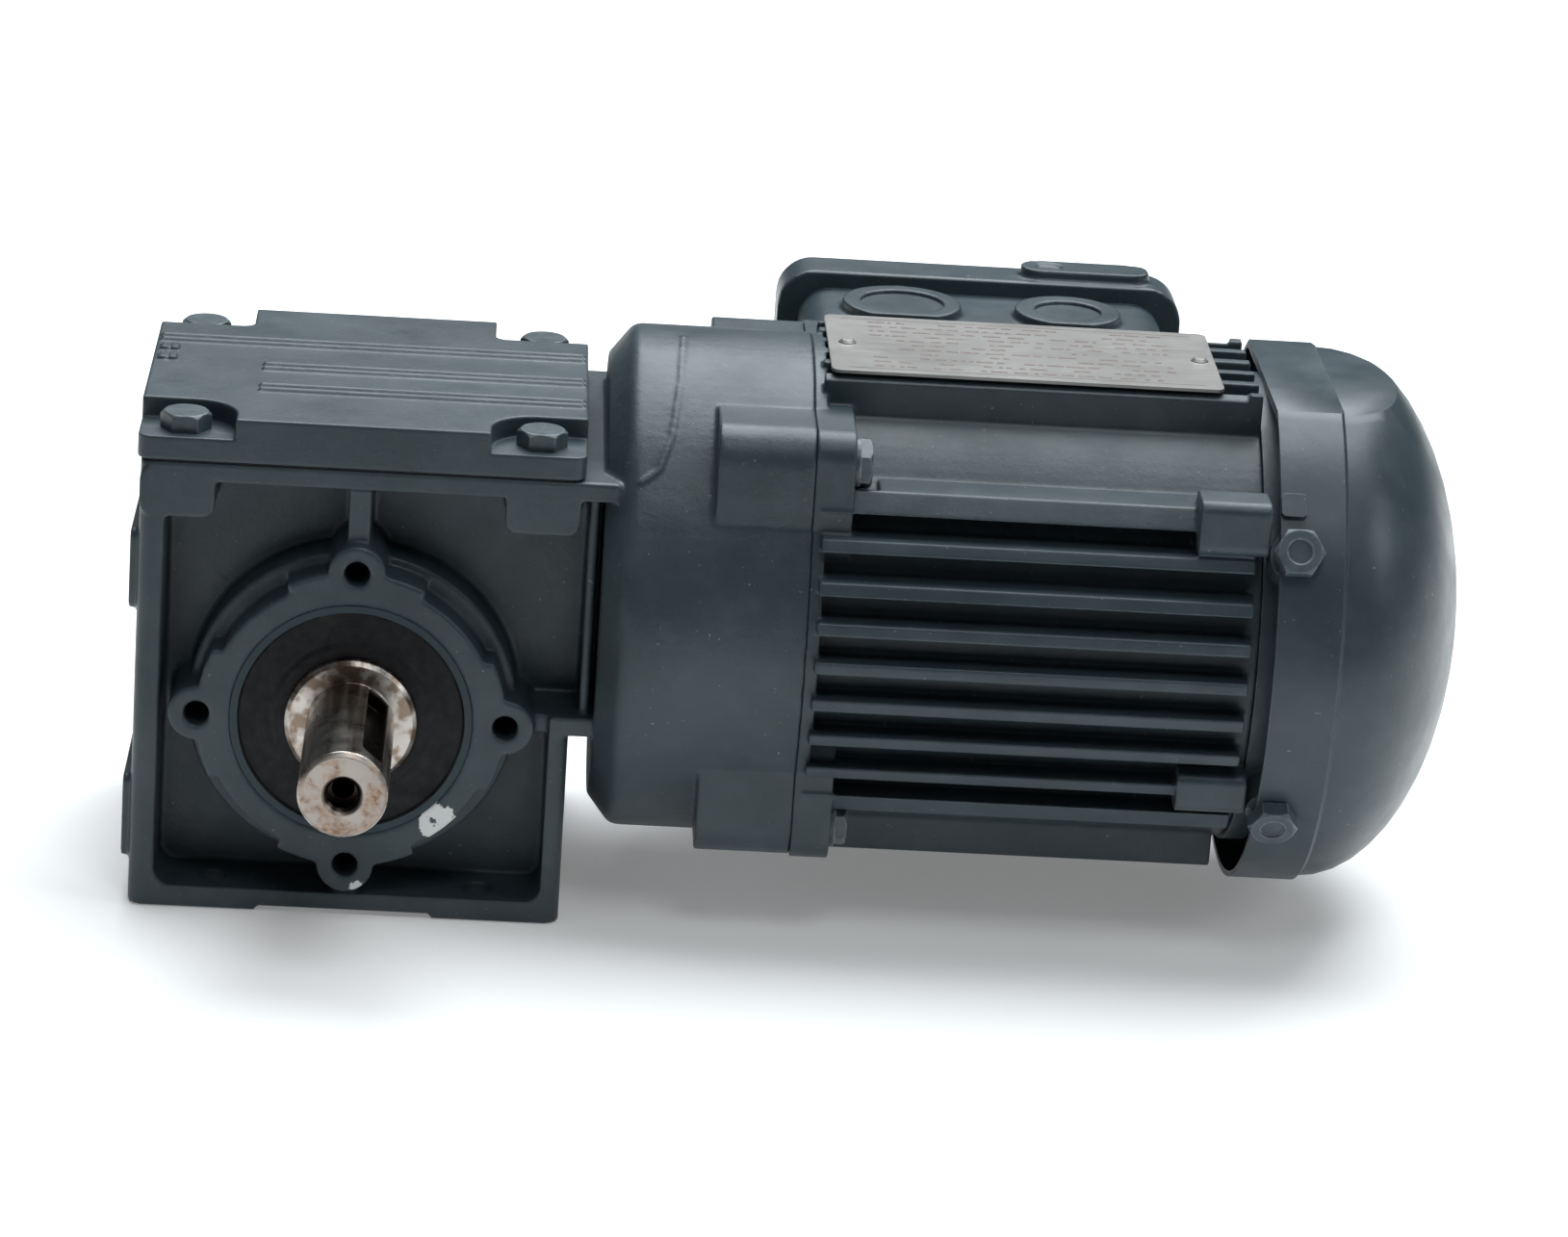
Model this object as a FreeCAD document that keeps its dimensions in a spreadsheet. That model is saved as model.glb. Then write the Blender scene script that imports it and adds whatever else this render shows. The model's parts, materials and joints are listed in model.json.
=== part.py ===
"""Right-angle geared motor: a skew-axis gear unit with a solid output shaft, driven by a finned squirrel-cage motor.

Frame: +Z up, X along the motor axis with the motor at +X, output shaft along -Y.
The origin is the centre of the four foot holes, on the base plane.
"""
import FreeCAD, Part
import os
import re
from math import cos, pi, radians, sin

import Sketcher
from FreeCAD import Placement, Rotation, Vector

# ---------------------------------------------------------------- driving dimensions, millimetres
DIMENSIONS = {
    # gear casing
    "casing_half_width": 49.5,
    "casing_half_depth": 45.7,
    "casing_height": 106.6,
    "side_wall": 5.9,
    "right_wall": 4.5,
    "base_thickness": 5,
    "top_thickness": 4.4,
    "foot_relief": 1,
    "web_face": 28,
    "web_back": 23,
    "chamber_half_width": 44.5,
    "chamber_floor": 6,
    "neck_end": 58,
    "neck_floor": 46,
    "output_height": 48,
    "boss_face": 48.2,
    "boss_radius": 33.3,
    "shoulder_radius": 35.3,
    "hub_radius": 37.5,
    "hub_face": 39,
    "lug_radius": 6.5,
    "flange_pitch_radius": 35,
    "flange_hole_radius": 2.9,
    "flange_hole_depth": 14,
    "foot_hole_x": 30.5,
    "foot_hole_y": 37.5,
    "foot_hole_radius": 3.3,
    # cover
    "cover_half_width": 50.3,
    "gasket_thickness": 0.4,
    "cover_top": 117.2,
    "notch_floor": 112.4,
    "notch_x": 28.5,
    "notch_y": 31,
    "cover_bolt_x": 40,
    "cover_bolt_y": 37.6,
    # output shaft line
    "shaft_radius": 10,
    "shaft_end": 96.4,
    "collar_radius": 15,
    "collar_face": 50.5,
    "keyway_half_width": 3,
    "keyway_bottom": 6.5,
    "keyway_end": 91.5,
    "keyway_angle": 50,
    "output_bore_radius": 27.5,
    "bearing_inner_side": 27.4,
    "bearing_outer_side": 40.4,
    "seal_face": 47.9,
    "wheel_seat_radius": 16,
    "wheel_back": 20,
    "wheel_root": 9,
    "wheel_tip": 6.6,
    "wheel_radius": 40,
    # skew-axis gear pair
    "offset": 22.8,
    "wheel_teeth": 41,
    "pinion_starts": 3,
    "mesh_height": 7.4,
    "mesh_middle": 23,
    "pinion_tip_radius": 8.5,
    "pinion_root_radius": 6,
    "pinion_start": 14,
    "pinion_end": 33,
    # motor
    "motor_height": 70.8,
    "drum_radius": 58.7,
    "drum_start": 55,
    "drum_shoulder": 60.5,
    "drum_end": 101.5,
    "drum_bore_radius": 49,
    "neck_hub_radius": 27,
    "neck_hub_end": 67,
    "lug_start": 79.5,
    "lug_half_square": 51,
    "motor_bolt_offset": 43,
    "motor_lug_end": 110.3,
    "fins_start": 103.5,
    "fins_end": 204,
    "fin_tip_end": 201.5,
    "fin_half_thickness": 1.45,
    "fin_tip_radius": 61.5,
    "top_fin_height": 58.2,
    "barrel_radius": 54,
    "stator_radius": 45,
    "gap_radius": 27.5,
    "core_start": 128,
    "core_end": 184,
    "rear_lug_start": 188,
    "guard_start": 206.5,
    "guard_radius": 63.9,
    "guard_sheet": 1.3,
    "guard_dome": 222,
    "guard_flat": 56.7,
    "guard_end": 256,
    "guard_screw_x": 210.5,
    "rotor_seat_radius": 8.5,
    "rotor_core_seat": 12,
    "rotor_tail_radius": 7.5,
    "rotor_shaft_end": 243,
    # terminal box
    "box_start": 102.2,
    "box_end": 192,
    "box_bottom": 22.8,
    "box_top": 118.8,
    "box_back": 57,
    "box_face": 86,
    "box_wall": 3.5,
    "lid_overhang": 4,
    "lid_face": 101,
    "lid_wall": 3,
    "box_gasket": 1,
    "box_screw_inset": 7.5,
    # nameplate
    "plate_start": 105,
    "plate_end": 195,
    "plate_half_width": 23.2,
    "plate_thickness": 0.8,
}

doc = FreeCAD.newDocument("right_angle_geared_motor")
sheet = doc.addObject("Spreadsheet::Sheet", "Dims")
for row, (alias, value) in enumerate(DIMENSIONS.items(), 1):
    sheet.set(f"A{row}", alias)
    sheet.set(f"B{row}", str(value))
    sheet.setAlias(f"B{row}", alias)
doc.recompute()

ALIASES = re.compile(r"\b(" + "|".join(sorted(DIMENSIONS, key=len, reverse=True)) + r")\b")
PARTS = []
probe = doc.addObject("Part::Vertex", "probe")


# ---------------------------------------------------------------- helpers
def formula(text):
    """The text as a FreeCAD expression that reads the sheet."""
    return ALIASES.sub(r"Dims.\1", str(text))


def number(text):
    """The text's value, for the starting geometry of a sketch."""
    probe.setExpression("X", formula(text))
    probe.recompute()
    return probe.X.Value


def bind(thing, **sizes):
    for prop, text in sizes.items():
        thing.setExpression(prop.replace("__", "."), formula(text))
    return thing


def move(thing, x="0", y="0", z="0"):
    for letter, text in zip("xyz", (x, y, z)):
        thing.setExpression(f"Placement.Base.{letter}", formula(text))
    return thing


TURN = {
    "Z": Rotation(),
    "X": Rotation(Vector(0, 1, 0), 90),
    "Y": Rotation(Vector(1, 0, 0), -90),
    "-Y": Rotation(Vector(1, 0, 0), 90),
    "-Z": Rotation(Vector(1, 0, 0), 180),
    "-X": Rotation(Vector(0, 1, 0), -90),
}


def block(x, y, z):
    """A box between two limits on each axis."""
    thing = doc.addObject("Part::Box", "block")
    for prop, (low, high) in zip(("Length", "Width", "Height"), (x, y, z)):
        bind(thing, **{prop: f"({high}) - ({low})"})
    return move(thing, x[0], y[0], z[0])


def rod(radius, low, high, axis="Z", centre=("0", "0")):
    """A cylinder along an axis, between two limits on it. centre is its place on the other two axes, in X, Y, Z order."""
    thing = doc.addObject("Part::Cylinder", "rod")
    bind(thing, Radius=radius, Height=f"({high}) - ({low})")
    thing.Placement = Placement(Vector(), TURN[axis])
    base = {"X": (low, *centre), "Y": (centre[0], low, centre[1]), "Z": (*centre, low)}[axis]
    return move(thing, *base)


def cone(radius_low, radius_high, low, high, axis="Z", centre=("0", "0")):
    thing = doc.addObject("Part::Cone", "cone")
    bind(thing, Radius1=radius_low, Radius2=radius_high, Height=f"({high}) - ({low})")
    thing.Placement = Placement(Vector(), TURN[axis])
    base = {"X": (low, *centre), "Y": (centre[0], low, centre[1]), "Z": (*centre, low)}[axis]
    return move(thing, *base)


def fuse(*things):
    if len(things) == 1:
        return things[0]
    thing = doc.addObject("Part::MultiFuse", "fuse")
    thing.Shapes = list(things)
    thing.Refine = True
    return thing


def cut(base, *tools):
    thing = doc.addObject("Part::Cut", "cut")
    thing.Base = base
    thing.Tool = fuse(*tools)
    thing.Refine = True
    return thing


def common(*things):
    thing = doc.addObject("Part::MultiCommon", "common")
    thing.Shapes = list(things)
    return thing


def group(*things):
    """Separate solids that share one node."""
    thing = doc.addObject("Part::Compound", "group")
    thing.Links = list(things)
    return thing


def placed(thing, axis, x="0", y="0", z="0", spin=0):
    """Puts a thing that was built along +Z onto another axis. spin turns it about its own axis first, in degrees."""
    thing.Placement = Placement(Vector(), TURN[axis] * Rotation(Vector(0, 0, 1), spin))
    return move(thing, x, y, z)


def part(label, thing):
    """Names a finished sub-part."""
    thing.Label = label
    PARTS.append(thing)
    return thing


def turned(points, rounds=()):
    """A body turned about +Z. points are (radius, height) texts of a closed outline.
    rounds are (radius, height, fillet) of the circular edges that are rounded, as texts."""
    body = doc.addObject("PartDesign::Body", "turned")
    sketch = body.newObject("Sketcher::SketchObject", "profile")
    plane = next(f for f in body.Origin.OriginFeatures if f.Role == "XZ_Plane")
    sketch.AttachmentSupport = (plane, [""])
    sketch.MapMode = "FlatFace"
    corners = [Vector(number(r), number(h), 0) for r, h in points]
    for start, end in zip(corners, corners[1:] + corners[:1]):
        sketch.addGeometry(Part.LineSegment(start, end), False)
    count = len(points)
    for i in range(count):
        sketch.addConstraint(Sketcher.Constraint("Coincident", i, 2, (i + 1) % count, 1))
    for i, (r, h) in enumerate(points):
        for kind, axis_index, text in (("DistanceX", -2, r), ("DistanceY", -1, h)):
            if text == "0":
                sketch.addConstraint(Sketcher.Constraint("PointOnObject", i, 1, axis_index))
            else:
                index = sketch.addConstraint(Sketcher.Constraint(kind, -1, 1, i, 1, number(text)))
                sketch.setExpression(f"Constraints[{index}]", formula(text))
    revolution = body.newObject("PartDesign::Revolution", "revolution")
    revolution.Profile = sketch
    revolution.ReferenceAxis = (sketch, ["V_Axis"])
    revolution.Angle = 360
    body.Tip = revolution
    if rounds:
        doc.recompute()
        for r, h, size in rounds:
            base = body.Tip
            name = circular_edge(base.Shape, number(r), number(h))
            fillet = body.newObject("PartDesign::Fillet", "fillet")
            fillet.Base = (base, [name])
            bind(fillet, Radius=size)
            body.Tip = fillet
            doc.recompute()
    return body


def circular_edge(shape, radius, height, tolerance=1e-3):
    for i, edge in enumerate(shape.Edges, 1):
        curve = edge.Curve
        if isinstance(curve, Part.Circle) and abs(curve.Radius - radius) < tolerance:
            if abs(curve.Center.z - height) < tolerance:
                return f"Edge{i}"
    raise ValueError(f"no circular edge of radius {radius} at {height}")


def tube(outer, inner, low, high):
    return cut(rod(outer, low, high), rod(inner, f"{low} - 1", f"{high} + 1"))


HEAD = {"M6": (5, 4, 2.9), "M5": (4, 3.5, 2.4)}  # half the width across flats, head height, shank radius


def hex_bolt(size, length, washer=0):
    """A hexagon head above z = 0 and a shank below it, with the head's top corners turned off."""
    flats, height, shank = HEAD[size]
    prism = doc.addObject("Part::Prism", "hexagon")
    prism.Polygon = 6
    prism.Circumradius = flats / cos(pi / 6)
    prism.Height = height
    crown = cone(f"{flats} * 1.155 + {height}", f"{flats} * 0.97", "0", height)
    bolt = [common(prism, crown), rod(f"{shank}", f"-{length}", "0.5")]
    if washer:
        bolt.append(rod(f"{washer}", "0", "1.2"))
    return fuse(*bolt)


def span(side, near, far):
    """The limits between two distances from the middle plane, on one side of it."""
    return (f"-({far})", f"-({near})") if side < 0 else (near, far)


def rounded_block(x, y, z, radius, along):
    """A block whose four edges along one axis are rounded."""
    base = block(x, y, z)
    doc.recompute()
    line = {"X": Vector(1, 0, 0), "Y": Vector(0, 1, 0), "Z": Vector(0, 0, 1)}[along]
    thing = doc.addObject("Part::Fillet", "rounded")
    thing.Base = base
    edges = enumerate(base.Shape.Edges, 1)
    thing.Edges = [(i, radius, radius) for i, e in edges if abs(e.tangentAt(e.FirstParameter).dot(line)) > 0.99]
    return thing


def ring_of(count, radius, start=0):
    """Places evenly spaced round a circle, as (first, second) coordinates."""
    return [(radius * cos(radians(start) + 2 * pi * i / count), radius * sin(radians(start) + 2 * pi * i / count))
            for i in range(count)]


SIGNS = [(a, b) for a in (-1, 1) for b in (-1, 1)]
MOTOR = ("0", "motor_height")
OUTPUT = ("0", "output_height")
W, D, H = "casing_half_width", "casing_half_depth", "casing_height"
P, T = "flange_pitch_radius", "output_height"
LUGS = [(P, T), (f"-{P}", T), ("0", f"{T} + {P}"), ("0", f"{T} - {P}")]
JOINT = f"{H} + gasket_thickness"


# ---------------------------------------------------------------- gear casing
def casing_outside():
    box = rounded_block((f"-{W}", W), (f"-{D}", D), ("0", H), 3, "Z")
    neck = block((f"{W} - 5", "neck_end"), (f"-{D}", D), ("neck_floor", H))
    hollows = []
    for side in (-1, 1):
        deep = span(side, "web_face", f"{D} + 1")
        hollows.append(rounded_block((f"-{W} + side_wall", f"{W} - right_wall"), deep,
                                     ("base_thickness", f"{H} - top_thickness"), 4, "Y"))
        hollows.append(block((f"{W} - 10", "neck_end + 1"), deep, ("neck_floor + 4.5", f"{H} - top_thickness")))
    frame = cut(fuse(box, neck), *hollows)
    extras = []
    for side in (-1, 1):
        extras.append(rod("hub_radius", *span(side, "web_face - 1", "hub_face"), "Y", OUTPUT))
        extras.append(rod("boss_radius", *span(side, "hub_face - 1", "boss_face"), "Y", OUTPUT))
        extras.append(boss_shoulders(side))
        for x, z in LUGS:
            extras.append(rod("lug_radius", *span(side, "web_face", "boss_face"), "Y", (x, z)))
        extras.append(block(("-2.5", "2.5"), span(side, "web_face", f"{D} - 1"), (f"{T} + {P}", f"{H} - 2")))
        extras.append(block(("-2.5", "2.5"), span(side, "web_face", f"{D} - 1"), ("2", f"{T} - {P}")))
        extras.append(block((P, "neck_end"), span(side, "web_face", f"{D} - 2"), (f"{T} - 2", f"{T} + 2.5")))
        extras.append(block(("51.6", "53.6"), span(side, "web_face", f"{D} - 3"), ("neck_floor + 1", f"{H} - 1")))
        for low, high in ((f"-{W}", f"-{W} + 17"), (f"{W} - 17", W)):
            extras.append(rounded_block((low, high), span(side, "web_face - 1", D), (f"{H} - 13", f"{H} - 1"), 3, "Y"))
    for low, high in (("10", "30"), ("70", "89")):
        extras.append(rounded_block((f"-{W} - 2", f"-{W} + 1"), ("-42", "42"), (low, high), 2, "X"))
    return fuse(frame, *extras)


def boss_shoulders(side):
    """The wider stretches of the boss ring, 24 degrees to either side of each lug."""
    disc = rod("shoulder_radius", *span(side, "hub_face - 1", "boss_face"), "Y", OUTPUT)
    wedges = []
    for turn in (0, 90):
        for tilt in (-14, 0, 14):
            slab = doc.addObject("Part::Box", "slab")
            slab.Length, slab.Width, slab.Height = 80, 120, 15
            slab.Placement = Placement(Vector(), Rotation(Vector(0, 1, 0), turn + tilt))
            slab.Placement.Base = slab.Placement.Rotation.multVec(Vector(-40, -60, -7.5))
            slab.setExpression("Placement.Base.z", formula(f"{slab.Placement.Base.z:.6f} + {T}"))
            wedges.append(slab)
    return common(disc, fuse(*wedges))


def drum():
    """The round motor end of the casing, with four square corner lugs for the flange bolts."""
    shell = turned([("30", "drum_start"), ("drum_radius - 7", "drum_start"), ("drum_radius", "drum_shoulder"),
                    ("drum_radius", "drum_end"), ("30", "drum_end")],
                   [("drum_radius", "drum_shoulder", "4")])
    placed(shell, "X", z="motor_height")
    square = rounded_block(("lug_start", "drum_end"), ("-lug_half_square", "lug_half_square"),
                           ("motor_height - lug_half_square", "motor_height + lug_half_square"), 8, "X")
    core = rod("30.5", "drum_start", "drum_end", "X", MOTOR)
    return fuse(shell, square, core)


def gear_housing():
    solid = fuse(casing_outside(), drum())
    wide = "chamber_half_width"
    tools = [
        rounded_block((f"-{wide}", wide), ("-web_back", "web_back"), ("chamber_floor", f"{H} + 1"), 6, "Z"),
        rod("24", "-web_face", "web_face", "Y", OUTPUT),
        rod("13", f"{wide} - 1", "47", "X", MOTOR),
        rod("20", "46", "neck_hub_end + 1", "X", MOTOR),
        rod("drum_bore_radius", "neck_hub_end", "drum_end + 1", "X", MOTOR),
        cut(rod("drum_bore_radius", "drum_shoulder + 2", "neck_hub_end + 0.5", "X", MOTOR),
            rod("neck_hub_radius", "drum_shoulder", "neck_hub_end + 2", "X", MOTOR)),
        block(("-20", "20"), (f"-{D} - 1", f"{D} + 1"), ("-1", "foot_relief")),
    ]
    for side in (-1, 1):
        tools.append(rod("output_bore_radius", *span(side, "bearing_inner_side", "boss_face + 1"), "Y", OUTPUT))
        for x, z in LUGS:
            tools.append(rod("flange_hole_radius", *span(side, "boss_face - flange_hole_depth", "boss_face + 1"),
                             "Y", (x, z)))
    for a, b in SIGNS:
        foot = (f"{a} * foot_hole_x", f"{b} * foot_hole_y")
        tools.append(rod("foot_hole_radius", "-1", "base_thickness + 3", "Z", foot))
        bolt = (f"{a} * cover_bolt_x", f"{b} * cover_bolt_y")
        tools.append(rod("2.9", f"{H} - 13.5", f"{H} + 1", "Z", bolt))
        flange = (f"{a} * motor_bolt_offset", f"motor_height + {b} * motor_bolt_offset")
        tools.append(rod("2.9", "drum_end - 15", "drum_end + 1", "X", flange))
    return cut(solid, *tools)


def housing_cover():
    wide = "cover_half_width"
    plate = rounded_block((f"-{wide}", wide), (f"-{D}", D), (JOINT, "cover_top"), 3, "Z")
    tools = [rounded_block(("-chamber_half_width", "chamber_half_width"), ("-web_back", "web_back"),
                           (f"{JOINT} - 1", f"{JOINT} + 3.6"), 6, "Z")]
    for a, b in SIGNS:
        x = sorted((f"{a} * notch_x", f"{a} * 60"), key=number)
        y = sorted((f"{b} * notch_y", f"{b} * 60"), key=number)
        tools.append(rounded_block(x, y, ("notch_floor", "cover_top + 1"), 10 if b < 0 else 3, "Z"))
        tools.append(rod("3.3", f"{JOINT} - 1", "cover_top", "Z", (f"{a} * cover_bolt_x", f"{b} * cover_bolt_y")))
    ridges = []
    for y, start in ((17, f"-{wide} + 1"), (-3, "-24.5"), (-20, "-24.5")):
        for line in (-1.7, 1.7):
            ridges.append(rod("1.2", start, f"{wide} - 1", "X", (f"{y + line}", "cover_top - 0.3")))
    return fuse(cut(plate, *tools), *ridges)


def cover_gasket():
    sheet_metal = rounded_block((f"-{W} + 0.5", f"{W} - 0.5"), (f"-{D} + 0.5", f"{D} - 0.5"), (H, JOINT), 3, "Z")
    tools = [rounded_block(("-chamber_half_width", "chamber_half_width"), ("-web_back", "web_back"),
                           (f"{H} - 1", f"{JOINT} + 1"), 6, "Z")]
    for a, b in SIGNS:
        tools.append(rod("3.3", f"{H} - 1", f"{JOINT} + 1", "Z", (f"{a} * cover_bolt_x", f"{b} * cover_bolt_y")))
    return cut(sheet_metal, *tools)


def cover_bolts():
    bolts = []
    for a, b in SIGNS:
        bolt = hex_bolt("M6", 16)
        bolts.append(move(bolt, f"{a} * cover_bolt_x", f"{b} * cover_bolt_y", "notch_floor"))
    return group(*bolts)


part("gear_housing", gear_housing())
part("housing_cover", housing_cover())
part("cover_gasket", cover_gasket())
part("cover_bolts", cover_bolts())


# ---------------------------------------------------------------- output shaft line
def output_shaft():
    """Turned along its own axis, which runs from the rear of the casing out to the front."""
    body = turned([
        ("0", "-44"), ("14", "-44"), ("15", "-43"), ("15", "-22"), ("13.5", "-21"), ("13.5", "wheel_root"),
        ("wheel_seat_radius", "wheel_root"), ("wheel_seat_radius", "wheel_back"), ("19", "wheel_back"),
        ("19", "bearing_inner_side"), ("15", "bearing_inner_side"), ("15", "collar_face - 1"), ("14", "collar_face"),
        ("shaft_radius", "collar_face"), ("shaft_radius", "shaft_end - 1"), ("shaft_radius - 1", "shaft_end"),
        ("0", "shaft_end")])
    body.Placement = Placement(Vector(), Rotation(Vector(0, 0, 1), DIMENSIONS["keyway_angle"]))
    groove = cut(rod("16", "-42.2", "-bearing_outer_side"), rod("14.3", "-43", "-40"))
    slot = fuse(block(("keyway_bottom", "12"), ("-keyway_half_width", "keyway_half_width"),
                      ("collar_face + 0.5", "keyway_end - keyway_half_width")),
                rod("keyway_half_width", "keyway_bottom", "12", "X", ("0", "keyway_end - keyway_half_width")))
    slot.Placement = Placement(Vector(), Rotation(Vector(0, 0, 1), number("keyway_angle")))
    wheel_slot = block(("wheel_seat_radius - 4", "18"), ("-4", "4"), ("wheel_root - 1", "wheel_back - 1"))
    centre = [rod("2.5", "shaft_end - 18", "shaft_end + 1"), rod("3.4", "shaft_end - 5", "shaft_end + 1"),
              cone("3.4", "5.1", "shaft_end - 1.4", "shaft_end + 0.5")]
    return placed(cut(body, groove, slot, wheel_slot, *centre), "-Y", z="output_height")


def mesh_lead():
    """The lead of the left-hand pinion. Along the whole face the thread then drives the wheel at one steady ratio."""
    d = DIMENSIONS
    turn = d["pinion_starts"] / d["wheel_teeth"]
    reach = d["offset"] / (1 - d["mesh_middle"] * turn / d["mesh_height"])
    return reach, 2 * pi * reach * turn


def tooth_trace(half_width):
    """The line that one flank of a wheel tooth follows across the face, in the plane of the wheel. The contact point
    moves along the pinion at x, and sits at side from the plane through the pinion's axis."""
    d = DIMENSIONS
    reach, lead = mesh_lead()
    slope = lead / (2 * pi * d["mesh_height"])
    groove = d["pinion_start"] + lead * 5 / 12
    points = []
    steps = 10
    for i in range(steps + 1):
        x = d["pinion_start"] + 1 + (d["pinion_end"] - 2 - d["pinion_start"]) * i / steps
        side = reach - d["offset"] - x * slope
        turn = (x - groove - half_width - slope * side) / reach
        z = d["offset"] + side
        points.append(Vector(x * cos(turn) - z * sin(turn), x * sin(turn) + z * cos(turn), 0))
    return points


def output_gear():
    """A face wheel. The teeth are curved ribs that stand up from a flat annulus towards the pinion."""
    root, back, tip = "wheel_root", "wheel_back", "wheel_tip"
    disc = cut(rod("wheel_radius", root, back), rod("wheel_radius - 6", f"{back} - 3", f"{back} + 1"))
    disc = fuse(disc, rod("23", root, back))
    slot = block(("10", "19.3"), ("-4", "4"), ("0", f"{back} - 1"))
    blank = cut(disc, rod("wheel_seat_radius", f"{root} - 1", f"{back} + 1"), slot)
    doc.recompute()
    half = 0.6
    sides = [Part.BSplineCurve(), Part.BSplineCurve()]
    sides[0].interpolate(tooth_trace(-half))
    sides[1].interpolate(tooth_trace(half))
    edges = [side.toShape() for side in sides]
    ends = [Part.makeLine(edges[0].valueAt(edges[0].FirstParameter), edges[1].valueAt(edges[1].FirstParameter)),
            Part.makeLine(edges[0].valueAt(edges[0].LastParameter), edges[1].valueAt(edges[1].LastParameter))]
    outline = Part.Wire(Part.__sortEdges__([*edges, *ends]))
    rib = Part.Face(outline).extrude(Vector(0, 0, number(f"{root} - {tip} + 0.5")))
    rib.translate(Vector(0, 0, number(tip)))
    rib = rib.common(Part.makeCylinder(DIMENSIONS["wheel_radius"], 40))
    teeth = []
    for i in range(DIMENSIONS["wheel_teeth"]):
        tooth = rib.copy()
        tooth.rotate(Vector(), Vector(0, 0, 1), 360 * i / DIMENSIONS["wheel_teeth"])
        teeth.append(tooth)
    wheel = doc.addObject("Part::Feature", "wheel")
    wheel.Shape = blank.Shape.fuse(teeth)
    return placed(wheel, "-Y", z="output_height")


def input_pinion():
    """A left-hand three-start screw with a bearing seat and a tenon that is pressed into the rotor shaft."""
    d = DIMENSIONS
    starts, root, tip = d["pinion_starts"], d["pinion_root_radius"], d["pinion_tip_radius"]
    lead = mesh_lead()[1]
    low, high = 360 * 2.2 / lead / 2, 360 * 1.3 / lead / 2
    edges = []
    for i in range(starts):
        middle = 360 * i / starts

        def at(radius, angle):
            return Vector(radius * cos(radians(middle + angle)), radius * sin(radians(middle + angle)), 0)
        edges.append(Part.makeLine(at(root, -low), at(tip, -high)))
        edges.append(Part.Arc(at(tip, -high), at(tip, 0), at(tip, high)).toShape())
        edges.append(Part.makeLine(at(tip, high), at(root, low)))
        edges.append(Part.Arc(at(root, low), at(root, 180 / starts), at(root, 360 / starts - low)).toShape())
    length = d["pinion_end"] - d["pinion_start"]
    spine = Part.Wire(Part.makeLine(Vector(), Vector(0, 0, length)))
    helix = Part.makeHelix(lead, length, 20, 0, True)
    pipe = Part.BRepOffsetAPI.MakePipeShell(spine)
    pipe.setAuxiliarySpine(Part.Wire(helix), True, 0)
    pipe.add(Part.Wire(edges))
    pipe.build()
    pipe.makeSolid()
    screw = doc.addObject("Part::Feature", "screw")
    screw.Shape = pipe.shape()
    shank = turned([("0", "pinion_end - 1"), ("pinion_root_radius", "pinion_end - 1"),
                    ("pinion_root_radius", "pinion_end + 1"), ("rotor_seat_radius", "pinion_end + 4"),
                    ("rotor_seat_radius", "68"), ("5", "68"), ("5", "90"), ("4", "91"), ("0", "91")])
    move(screw, z="pinion_start")
    return placed(fuse(shank, screw), "X", z="motor_height")


def bearing(name, axis, start, bore, outside, width, ball, count, centre):
    """Three nodes: outer ring, inner ring, and balls with their cage. start is the low side along local Z."""
    pitch = (bore + outside) / 2
    inner = bore + (outside - bore) * 0.33
    outer = outside - (outside - bore) * 0.33
    half = width / 2

    def race():
        torus = doc.addObject("Part::Torus", "race")
        torus.Radius1, torus.Radius2 = pitch, ball + 0.04
        torus.Placement.Base = Vector(0, 0, half)
        return torus
    balls, pockets = [], []
    for x, y in ring_of(count, pitch):
        for radius, store in ((ball, balls), (ball + 0.15, pockets)):
            sphere = doc.addObject("Part::Sphere", "ball")
            sphere.Radius = radius
            sphere.Placement.Base = Vector(x, y, half)
            store.append(sphere)
    gap = (outer - inner) / 2 - 0.7
    cage = cut(tube(f"{pitch + gap}", f"{pitch - gap}", f"{half - ball * 0.62}", f"{half + ball * 0.62}"), *pockets)
    pieces = {
        "outer_ring": cut(tube(f"{outside}", f"{outer}", "0", f"{width}"), race()),
        "inner_ring": cut(tube(f"{inner}", f"{bore}", "0", f"{width}"), race()),
        "balls": group(cage, *balls),
    }
    for piece, thing in pieces.items():
        placed(thing, axis, **({"x": start} if axis == "X" else {"y": start}), z=centre)
        part(f"{name}_{piece}", thing)


part("output_shaft", output_shaft())
part("output_gear", output_gear())
key = block(("wheel_seat_radius - 4", "wheel_seat_radius + 3.2"), ("-4", "4"), ("wheel_root", "wheel_back - 1.2"))
part("gear_key", placed(group(key), "-Y", z="output_height"))
part("shaft_circlip", placed(cut(tube("17.5", "14.3", "-42.2", "-bearing_outer_side"),
                                 block(("-2", "2"), ("-20", "0"), ("-45", "-39"))), "-Y", z="output_height"))
bearing("front_output_bearing", "-Y", "-bearing_inner_side", 15, 27.5, 13, 3.55, 11, "output_height")
bearing("rear_output_bearing", "-Y", "bearing_outer_side", 15, 27.5, 13, 3.55, 11, "output_height")
part("output_oil_seal", placed(turned([
    ("27.5", "bearing_outer_side + 0.5"), ("27.5", "seal_face"), ("25.8", "seal_face"), ("25.3", "seal_face - 0.9"),
    ("18.5", "seal_face - 0.9"), ("17.5", "seal_face - 0.3"), ("15.05", "seal_face - 0.3"),
    ("15.05", "seal_face - 2.5"), ("17", "seal_face - 3.4"), ("17", "seal_face - 5.5"), ("15.05", "seal_face - 5.5"),
    ("16.5", "bearing_outer_side + 0.5")]), "-Y", z="output_height"))
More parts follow.
